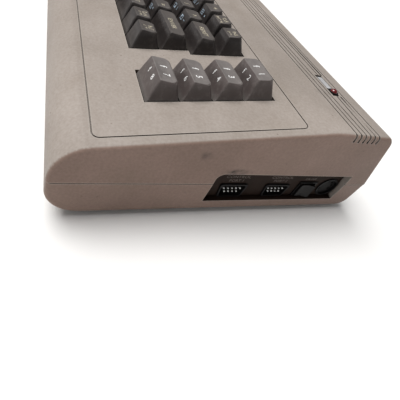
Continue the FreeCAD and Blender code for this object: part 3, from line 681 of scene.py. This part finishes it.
class Cap:
    """One keycap's sizes, in the deck's frame."""

    def __init__(self, left, width, row):
        self.front_h, self.rear_h, self.front_in, self.rear_in = ROW_SHAPE[row]
        self.row = row
        self.s0 = ROW_FRONT_S + (4 - row) * UNIT + CAP_GAP / 2
        self.s1 = self.s0 + UNIT - CAP_GAP
        self.x0 = left + CAP_GAP / 2
        self.x1 = left + width - CAP_GAP / 2
        self.mid = (self.x0 + self.x1) / 2
        self.side_in = CAP_SLOPE * ((self.front_h + self.rear_h) / 2 - CAP_BASE_H)
        self.top_s0 = self.s0 + self.front_in
        self.top_s1 = self.s1 - self.rear_in
        self.top_mid = (self.top_s0 + self.top_s1) / 2

    def ring(self, up, inset):
        """Rounded outline at a share of the height; up = 1 is the top's edge."""
        front_r = FRONT_CORNER[0] + (FRONT_CORNER[1] - FRONT_CORNER[0]) * up - inset
        rear_r = REAR_CORNER[0] + (REAR_CORNER[1] - REAR_CORNER[0]) * up - inset
        front_side = CAP_SLOPE * (self.front_h - CAP_BASE_H) * up
        rear_side = CAP_SLOPE * (self.rear_h - CAP_BASE_H) * up
        s_front = self.s0 + self.front_in * up + inset
        s_rear = self.s1 - self.rear_in * up - inset
        corners = (
            (self.x1 - front_side - inset, s_front, front_r, 1, -90),
            (self.x1 - rear_side - inset, s_rear, rear_r, -1, 0),
            (self.x0 + rear_side + inset, s_rear, rear_r, -1, 90),
            (self.x0 + front_side + inset, s_front, front_r, 1, 180),
        )
        points = []
        for x, s, radius, inward, start in corners:
            radius = max(LEAST_CORNER, radius)
            centre_x = x - math.copysign(radius, x - self.mid)
            centre_s = s + inward * radius
            for i in range(CORNER_STEPS + 1):
                a = math.radians(start + 90 * i / CORNER_STEPS)
                points.append((centre_x + radius * math.cos(a), centre_s + radius * math.sin(a)))
        return points

    def level(self, s, up):
        """Height of the flat cap at s, at a share of the height."""
        back = min(1.0, max(0.0, (s - self.top_s0) / (self.top_s1 - self.top_s0)))
        top = self.front_h + (self.rear_h - self.front_h) * back
        return CAP_BASE_H + (top - CAP_BASE_H) * up

    def top(self, x, s):
        """Height of the dished top."""
        half_width = (self.x1 - self.x0) / 2 - self.side_in
        half_depth = (self.top_s1 - self.top_s0) / 2
        u = min(1.0, abs(x - self.mid) / half_width)
        v = min(1.0, abs(s - self.top_mid) / half_depth)
        if self.row == SPACE_ROW:
            return self.level(s, 1) - SPACE_CROWN * v * v
        return self.level(s, 1) - DISH_ACROSS * (1 - u * u) - DISH_ALONG * (1 - v * v)

    def front(self, x, share):
        """Point on the sloping front face, share of the way up."""
        h = CAP_BASE_H + (self.front_h - CAP_BASE_H) * share
        return x, self.s0 + self.front_in * share, h


def add_ring(b, points):
    """New vertices at points of the deck's frame."""
    return [b.verts.new(deck_point(*p)) for p in points]


def bridge(b, low, high):
    """Side faces between two closed rings."""
    n = len(low)
    for i in range(n):
        j = (i + 1) % n
        b.faces.new((low[i], low[j], high[j], high[i]))


def build_cap(b, cap):
    """Adds one hollow keycap with its plunger to a mesh."""
    inner_roof = min(cap.front_h, cap.rear_h) - ROOF_THICK
    # inside, from the roof down
    rings = [
        [(x, s, inner_roof) for x, s in cap.ring(INNER_ROOF_SHARE, CAP_WALL)],
        [(x, s, CAP_BASE_H) for x, s in cap.ring(0.0, CAP_WALL)],
    ]
    # outside, from the base up to where the top edge begins to round
    rings.append([(x, s, CAP_BASE_H) for x, s in cap.ring(0.0, 0.0)])
    for k in range(1, SHOULDER_STEPS + 1):
        up = SHOULDER_SHARE * k / SHOULDER_STEPS
        rings.append([(x, s, cap.level(s, up)) for x, s in cap.ring(up, 0.0)])
    # rounded shoulder
    for k in range(1, SHOULDER_STEPS + 1):
        a = math.pi / 2 * k / SHOULDER_STEPS
        inset = CAP_ROUND * (1 - math.cos(a))
        drop = CAP_ROUND * (1 - math.sin(a))
        rings.append([(x, s, cap.top(x, s) - drop) for x, s in cap.ring(1.0, inset)])
    # dished top in closing rings
    outline = cap.ring(1.0, CAP_ROUND)
    for share in DISH_RINGS:
        ring = []
        for x, s in outline:
            rx = cap.mid + (x - cap.mid) * share
            rs = cap.top_mid + (s - cap.top_mid) * share
            ring.append((rx, rs, cap.top(rx, rs)))
        rings.append(ring)
    made = [add_ring(b, r) for r in rings]
    for low, high in zip(made, made[1:]):
        bridge(b, low, high)
    b.faces.new(list(reversed(made[0])))
    b.faces.new(made[-1])
    half = PLUNGER / 2
    s_mid = (cap.s0 + cap.s1) / 2
    turns = ((-1, -1), (1, -1), (1, 1), (-1, 1))
    square = [(cap.mid + half * across, s_mid + half * along) for across, along in turns]
    low = add_ring(b, [(x, s, PLUNGER_LOW_H) for x, s in square])
    high = add_ring(b, [(x, s, inner_roof) for x, s in square])
    bridge(b, low, high)
    b.faces.new(list(reversed(low)))
    b.faces.new(high)


def text_mesh(words, size, bold):
    """Flat mesh of a short word, centred on its own origin, in millimetres."""
    curve = bpy.data.curves.new("words", "FONT")
    curve.body = words
    curve.size = size
    curve.offset = bold
    curve.align_x = "CENTER"
    curve.align_y = "CENTER"
    curve.resolution_u = 3
    curve.space_character = 1.05
    holder = bpy.data.objects.new("words", curve)
    bpy.context.scene.collection.objects.link(holder)
    evaluated = holder.evaluated_get(bpy.context.evaluated_depsgraph_get())
    mesh = bpy.data.meshes.new_from_object(evaluated)
    bpy.data.objects.remove(holder)
    return mesh


def lay_words(b, words, size, place, width=1.0, max_wide=None, bold=LEGEND_BOLD):
    """Adds a word to a mesh; place turns its flat x, y into a point in metres."""
    mesh = text_mesh(words, size, bold)
    squeeze = width
    if max_wide and mesh.vertices:
        wide = max(v.co.x for v in mesh.vertices) - min(v.co.x for v in mesh.vertices)
        if wide * squeeze > max_wide:
            squeeze = max_wide / wide
    part = bmesh.new()
    part.from_mesh(mesh)
    bmesh.ops.triangulate(part, faces=part.faces)
    verts = [b.verts.new(place(v.co.x * squeeze, v.co.y)) for v in part.verts]
    part.verts.index_update()
    for f in part.faces:
        b.faces.new([verts[v.index] for v in f.verts])
    part.free()
    bpy.data.meshes.remove(mesh)


def on_top(cap, across, back):
    """Lays flat points on a cap's dished top, offset from its middle."""

    def place(x, y):
        px = cap.mid + across + x
        ps = cap.top_mid + back + y
        return deck_point(px, ps, cap.top(px, ps) + LEGEND_LIFT)

    return place


def on_front(cap, across, share):
    """Lays flat points on a cap's sloping front face, a share of the way up."""
    run = Vector((0, cap.front_in, cap.front_h - CAP_BASE_H)).normalized()
    out = Vector((0, -run.z, run.y))

    def place(x, y):
        px, s, h = cap.front(cap.mid + across + x, share)
        return deck_point(px, s + run.y * y + out.y * LEGEND_LIFT, h + run.z * y + out.z * LEGEND_LIFT)

    return place


def quad(b, place, points):
    """One face with four corners."""
    b.faces.new([b.verts.new(place(x, y)) for x, y in points])


def stroke_mark(b, place, kind, line=STROKE_WIDE):
    """One plain stroke or corner, one of a few generic kinds."""
    k = MARK_SIZE / 2 - line
    w = line / 2
    if kind == 0:
        quad(b, place, [(-w, -k), (w, -k), (w, k), (-w, k)])
    elif kind == 1:
        quad(b, place, [(-k, -w), (k, -w), (k, w), (-k, w)])
    elif kind == 2:
        quad(b, place, [(-k, -k), (-k + 2 * w, -k), (k, k), (k - 2 * w, k)])
    elif kind == 3:
        quad(b, place, [(0, -k), (k, -k), (k, 0), (0, 0)])
    else:
        quad(b, place, [(-k, 0), (0, 0), (0, k), (-k, k)])


def box_mark(b, place, kind):
    """A small outline square round a plain stroke."""
    h = MARK_SIZE / 2
    k = h - OUTLINE_WIDE
    quad(b, place, [(-h, -h), (h, -h), (h, -k), (-h, -k)])
    quad(b, place, [(-h, k), (h, k), (h, h), (-h, h)])
    quad(b, place, [(-h, -k), (-k, -k), (-k, k), (-h, k)])
    quad(b, place, [(k, -k), (h, -k), (h, k), (k, k)])
    stroke_mark(b, place, kind, OUTLINE_WIDE)


def cell(row, index):
    """Left edge and width of a key's place in its row."""
    start, widths = ROW_KEYS[row]
    return KEYS_X0 + UNIT * (start + sum(widths[:index])), widths[index] * UNIT


def word_lines(b, cap, legend):
    """Lays one or two short lines on a cap's top."""
    lines = legend.split("/") if len(legend) > 1 else [legend]
    room = (cap.x1 - cap.x0) - 2 * cap.side_in - LEGEND_MARGIN
    long_word = max(len(w) for w in lines) > 2
    sizes = ONE_LINE_SIZES if len(lines) == 1 else TWO_LINE_SIZES
    places = (0.0,) if len(lines) == 1 else TWO_LINE_BACK
    for line, back in zip(lines, places):
        lay_words(b, line, sizes[long_word], on_top(cap, 0.0, back), max_wide=room)


def function_words(b, cap, digit):
    """A letter and number on a function key's top, and the shifted pair on its front."""
    pairs = ((FUNCTION_TOP, on_top, digit), (FUNCTION_FRONT, on_front, digit + 1))
    for spots, surface, number in pairs:
        for label, (size, across, place) in zip(("f", str(number)), spots):
            lay_words(b, label, size, surface(cap, across, place), bold=FUNCTION_BOLD)


def finish_mesh(b, name):
    """Turns a working mesh into a plain one."""
    mesh = bpy.data.meshes.new(name)
    b.to_mesh(mesh)
    b.free()
    return mesh


def key_groups():
    """Caps and legends of each piece that moves; the third value picks the front marks."""
    groups = {}
    for row in LEGENDS:
        count = len(ROW_KEYS[row][1])
        for index, legend in enumerate(LEGENDS[row]):
            left, width = cell(row, index)
            single = index < SINGLE_LEFT[row] or index >= count - SINGLE_RIGHT
            name = "key_row%d_%02d" % (row, index + 1) if single else "keys_row%d_middle" % row
            groups.setdefault(name, []).append((Cap(left, width, row), legend, 3 * row + index))
    for row, name in FUNCTION_KEYS.items():
        digit = name[-1]
        groups[name] = [(Cap(F_KEYS_X0, F_KEY_WIDE * UNIT, row), digit, None)]
    left, width = cell(SPACE_ROW, 0)
    groups["key_space_bar"] = [(Cap(left, width, SPACE_ROW), "", None)]
    return groups


def make_keys():
    """Every keycap and its legends, one mesh for each piece that moves."""
    for name, caps in key_groups().items():
        b = bmesh.new()
        words = bmesh.new()
        marks = bmesh.new()
        function = name in FUNCTION_KEYS.values()
        for cap, legend, mark in caps:
            build_cap(b, cap)
            if function:
                function_words(words, cap, int(legend))
            elif legend:
                word_lines(words, cap, legend)
                if len(legend) == 1:
                    box_mark(marks, on_front(cap, -MARK_ACROSS, MARK_SHARE), mark % MARK_KINDS)
                    stroke_mark(marks, on_front(cap, MARK_ACROSS, MARK_SHARE), (mark + 2) % MARK_KINDS)
        bmesh.ops.recalc_face_normals(b, faces=b.faces)
        mesh = finish_mesh(b, name + "_look")
        shade(mesh, KEY_SHARP)
        slot = NODE_SLOT[name]
        piece = new_object(name + "_look", mesh, SLOT_FINISH[slot], BODY_OF[name])
        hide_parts(name)
        paint = FUNCTION_WHITE if function else CREAM
        for part, label, finish in ((words, "legend", paint), (marks, "mark", FACE_MARK)):
            if len(part.faces):
                flat = finish_mesh(part, name + "_" + label)
                laid = new_object(name + "_" + label, flat, finish, BODY_OF[name])
            else:
                part.free()


def pin_rows_tree():
    """Two staggered rows of round-tipped pins along X, from named sizes."""
    tree = bpy.data.node_groups.new("pin_rows", "GeometryNodeTree")
    face = tree.interface
    face.new_socket("Geometry", in_out="OUTPUT", socket_type="NodeSocketGeometry")
    for label in ("Pitch", "Row Offset", "Radius", "Length"):
        face.new_socket(label, in_out="INPUT", socket_type="NodeSocketFloat")
    face.new_socket("Finish", in_out="INPUT", socket_type="NodeSocketMaterial")
    given = tree.nodes.new("NodeGroupInput")
    out = tree.nodes.new("NodeGroupOutput")
    join_rows = tree.nodes.new("GeometryNodeJoinGeometry")
    for count, side in ((5, 1), (4, -1)):
        row = tree.nodes.new("GeometryNodeMeshLine")
        row.inputs["Count"].default_value = count
        step = tree.nodes.new("ShaderNodeCombineXYZ")
        link(tree, given.outputs["Pitch"], step.inputs["Y"])
        link(tree, step.outputs[0], row.inputs["Offset"])
        start = tree.nodes.new("ShaderNodeCombineXYZ")
        link(tree, times(tree, given.outputs["Pitch"], -(count - 1) / 2), start.inputs["Y"])
        link(tree, times(tree, given.outputs["Row Offset"], side), start.inputs["Z"])
        link(tree, start.outputs[0], row.inputs["Start Location"])
        link(tree, row.outputs["Mesh"], join_rows.inputs[0])
    shaft = tree.nodes.new("GeometryNodeMeshCylinder")
    shaft.inputs["Vertices"].default_value = 16
    link(tree, given.outputs["Radius"], shaft.inputs["Radius"])
    link(tree, given.outputs["Length"], shaft.inputs["Depth"])
    tip = tree.nodes.new("GeometryNodeMeshUVSphere")
    tip.inputs["Segments"].default_value = 16
    tip.inputs["Rings"].default_value = 8
    link(tree, given.outputs["Radius"], tip.inputs["Radius"])
    at_end = tree.nodes.new("ShaderNodeCombineXYZ")
    link(tree, times(tree, given.outputs["Length"], 0.5), at_end.inputs["Z"])
    move = tree.nodes.new("GeometryNodeTransform")
    link(tree, tip.outputs["Mesh"], move.inputs["Geometry"])
    link(tree, at_end.outputs[0], move.inputs["Translation"])
    pin = tree.nodes.new("GeometryNodeJoinGeometry")
    link(tree, shaft.outputs["Mesh"], pin.inputs[0])
    link(tree, move.outputs[0], pin.inputs[0])
    turn = tree.nodes.new("GeometryNodeTransform")
    link(tree, pin.outputs[0], turn.inputs["Geometry"])
    turn.inputs["Rotation"].default_value = (0, math.pi / 2, 0)
    place = tree.nodes.new("GeometryNodeInstanceOnPoints")
    link(tree, join_rows.outputs[0], place.inputs["Points"])
    link(tree, turn.outputs[0], place.inputs["Instance"])
    real = tree.nodes.new("GeometryNodeRealizeInstances")
    link(tree, place.outputs[0], real.inputs[0])
    finish = tree.nodes.new("GeometryNodeSetMaterial")
    link(tree, real.outputs[0], finish.inputs["Geometry"])
    link(tree, given.outputs["Finish"], finish.inputs["Material"])
    link(tree, finish.outputs[0], out.inputs[0])
    return tree


def grown(tree, values, name):
    """Runs a node tree on an empty mesh and returns the plain mesh it makes."""
    holder = bpy.data.objects.new(name, bpy.data.meshes.new(name))
    bpy.context.scene.collection.objects.link(holder)
    grow = holder.modifiers.new("grow", "NODES")
    grow.node_group = tree
    for item in tree.interface.items_tree:
        if item.in_out == "INPUT" and item.name in values:
            grow[item.identifier] = values[item.name]
    evaluated = holder.evaluated_get(bpy.context.evaluated_depsgraph_get())
    mesh = bpy.data.meshes.new_from_object(evaluated)
    holder.modifiers.remove(grow)
    bpy.data.objects.remove(holder)
    return mesh


def make_port_pins():
    """Nine pins in each control port, grown from the node tree."""
    low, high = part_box("control_port_pins")
    tree = pin_rows_tree()
    sizes = {
        "Pitch": PIN_PITCH * MM,
        "Row Offset": PIN_ROW_OFFSET * MM,
        "Radius": PIN_R * MM,
        "Length": high[0] - low[0] - PIN_SHORT * MM,
        "Finish": PIN,
    }
    middle_x = (low[0] + high[0]) / 2 - PIN_BACK * MM
    middle_z = (low[2] + high[2]) / 2
    whole = bmesh.new()
    for y, _ in PORTS:
        mesh = grown(tree, sizes, "pins")
        mesh.transform(Matrix.Translation((middle_x, y * MM, middle_z)))
        whole.from_mesh(mesh)
        bpy.data.meshes.remove(mesh)
    mesh = finish_mesh(whole, "control_port_pins_look")
    shade(mesh, TURNED_SHARP)
    piece = new_object("control_port_pins_look", mesh, PIN, "chassis")
    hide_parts("control_port_pins")


def make_recess_print():
    """Two faint lines of plain words above each port, and over the switch."""
    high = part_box("port_plate")[1]
    x = high[0] + LEGEND_LIFT * MM
    b = bmesh.new()

    def on_plate(y_mm, z_mm):
        return lambda u, v: Vector((x, (y_mm + u) * MM, (z_mm + v) * MM))

    for y, word in PORTS:
        lay_words(b, "CONTROL", PORT_WORD_SIZE, on_plate(y, PORT_WORD_Z), width=1.1)
        lay_words(b, word, PORT_WORD_SIZE, on_plate(y, PORT_NUMBER_Z))
    lay_words(b, "ON OFF", SWITCH_WORD_SIZE, on_plate(*SWITCH_WORD_AT))
    piece = new_object("recess_print", finish_mesh(b, "recess_print"), PRINT, "chassis")


def revolved(name, profile, centre, material, body):
    """Closed turned piece about a vertical axis; the profile is (radius, height) in mm."""
    b = bmesh.new()
    rings = []
    x, y = centre
    turn = [2 * math.pi * i / TURNED_STEPS for i in range(TURNED_STEPS)]
    for r, z in profile:
        angles = turn if r > 1e-6 else turn[:1]
        points = [Vector((x + r * math.cos(a), y + r * math.sin(a), z)) * MM for a in angles]
        rings.append([b.verts.new(p) for p in points])
    for low, high in zip(rings, rings[1:]):
        for i in range(TURNED_STEPS):
            j = (i + 1) % TURNED_STEPS
            corners = [low[i % len(low)], low[j % len(low)], high[j % len(high)], high[i % len(high)]]
            unique = list(dict.fromkeys(corners))
            if len(unique) > 2:
                b.faces.new(unique)
    bmesh.ops.recalc_face_normals(b, faces=b.faces)
    mesh = finish_mesh(b, name)
    shade(mesh, TURNED_SHARP)
    return new_object(name, mesh, material, body)


def box_piece(name, size, middle, material, body, rounding=0.0):
    """Block of a size about a middle, in metres, with its edges rounded if asked."""
    b = bmesh.new()
    bmesh.ops.create_cube(b, size=1.0)
    bmesh.ops.scale(b, verts=b.verts, vec=size)
    bmesh.ops.translate(b, verts=b.verts, vec=middle)
    if rounding:
        bmesh.ops.bevel(b, geom=b.edges[:], offset=rounding, segments=2, affect="EDGES")
    return new_object(name, finish_mesh(b, name), material, body)


def make_lamp():
    """Domed red lens in a black ring."""
    low, high = (Vector(corner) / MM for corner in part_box("power_lamp"))
    centre = ((low.x + high.x) / 2, (low.y + high.y) / 2)
    foot_r = (high.x - low.x) / 2
    foot_top = low.z + LAMP_FOOT
    shoulder = high.z - LAMP_DOME * LAMP_R
    profile = [(0.0, low.z), (foot_r, low.z), (foot_r, foot_top), (LAMP_R, foot_top), (LAMP_R, shoulder)]
    for k in range(1, DOME_STEPS):
        a = math.pi / 2 * k / DOME_STEPS
        profile.append((LAMP_R * math.cos(a), shoulder + (high.z - shoulder) * math.sin(a)))
    profile.append((0.0, high.z))
    lens = revolved("power_lamp_look", profile, centre, LENS, BODY_OF["power_lamp"])
    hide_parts("power_lamp")
    profile = [(LAMP_R + out, CREST_Z + up) for out, up in RING_PROFILE]
    ring = revolved("lamp_ring", profile, centre, BLACK, BODY_OF["power_lamp"])


def make_lamp_bar():
    """Pale grey bar on the strip beside the lamp; its paleness is a painted reflection standing in for
    chrome.
    """
    low, high = (Vector(corner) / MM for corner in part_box("lamp_plate"))
    size = Vector((high.x - low.x - BAR_TRIM_X, high.y - low.y - BAR_TRIM_Y, BAR_THICK))
    middle = Vector(((low.x + high.x) / 2 + BAR_SHIFT, (low.y + high.y) / 2, high.z + BAR_RISE))
    bar = box_piece("lamp_bar", size * MM, middle * MM, BAR_PAINTED_REFLECTION, BODY_OF["lamp_plate"], BAR_ROUND * MM)


def make_recess_lining():
    """Thin dark sheet of painted shade along the foot of the side recess, over the moulded ledge."""
    size = Vector(SHADE_SHEET_SIZE) * MM
    shade_sheet = box_piece("recess_shade_sheet", size, Vector(SHADE_SHEET_AT) * MM, RECESS, "chassis")


def make_room():
    """Pale floor under a sky that is light at the horizon and dimmer overhead."""
    bpy.ops.mesh.primitive_plane_add(size=FLOOR_SIDE, location=(0, 0, 0))
    floor = bpy.context.object
    floor.name = "floor"
    floor.data.materials.append(floor_finish())
    world = bpy.data.worlds.new("room")
    world.use_nodes = True
    tree = world.node_tree
    sky = tree.nodes["Background"]
    sky.inputs["Color"].default_value = (1.0, 1.0, 1.0, 1)
    coords = tree.nodes.new("ShaderNodeTexCoord")
    height = along_axis(tree, coords.outputs["Generated"], "Z")
    glow = spread(tree, height, HORIZON_AT, OVERHEAD_AT, HORIZON_LIGHT, OVERHEAD_LIGHT)
    link(tree, glow, sky.inputs["Strength"])
    bpy.context.scene.world = world
    bpy.context.scene.view_settings.view_transform = "Standard"


def make_light():
    """One broad soft light from above the front edge."""
    light = bpy.data.lights.new("window", "SUN")
    light.angle = math.radians(LIGHT_SPREAD_DEG)
    light.energy = LIGHT_POWER
    light.color = LIGHT_COLOUR
    lamp = bpy.data.objects.new("window", light)
    lamp.rotation_euler = LIGHT_RUNS.to_track_quat("-Z", "Y").to_euler()
    bpy.context.scene.collection.objects.link(lamp)


def make_camera():
    """The photograph's camera, from its fitted place, directions and focal length."""
    camera = bpy.data.cameras.new("camera")
    camera.sensor_width = SENSOR_MM
    camera.lens = FOCAL_PX * SENSOR_MM / PHOTO_SIDE
    camera.shift_x = (PHOTO_SIDE / 2 - CENTRE_PX[0]) / PHOTO_SIDE
    camera.shift_y = (CENTRE_PX[1] - PHOTO_SIDE / 2) / PHOTO_SIDE
    camera.clip_start = 0.01
    eye = bpy.data.objects.new("camera", camera)
    right = CAMERA_RIGHT.normalized()
    back = right.cross(CAMERA_UP).normalized()
    up = back.cross(right)
    eye.matrix_world = Matrix((
        (right.x, up.x, back.x, CAMERA_AT.x),
        (right.y, up.y, back.y, CAMERA_AT.y),
        (right.z, up.z, back.z, CAMERA_AT.z),
        (0, 0, 0, 1),
    ))
    bpy.context.scene.collection.objects.link(eye)
    bpy.context.scene.camera = eye


for cad_name in sorted(frame["nodes"]):
    if not cad_name.startswith(("key_", "keys_")) and cad_name not in ("control_port_pins", "power_lamp"):
        moulded_copy(cad_name)
make_keys()
make_port_pins()
make_lamp()
make_lamp_bar()
make_recess_print()
make_recess_lining()
make_room()
make_light()
make_camera()
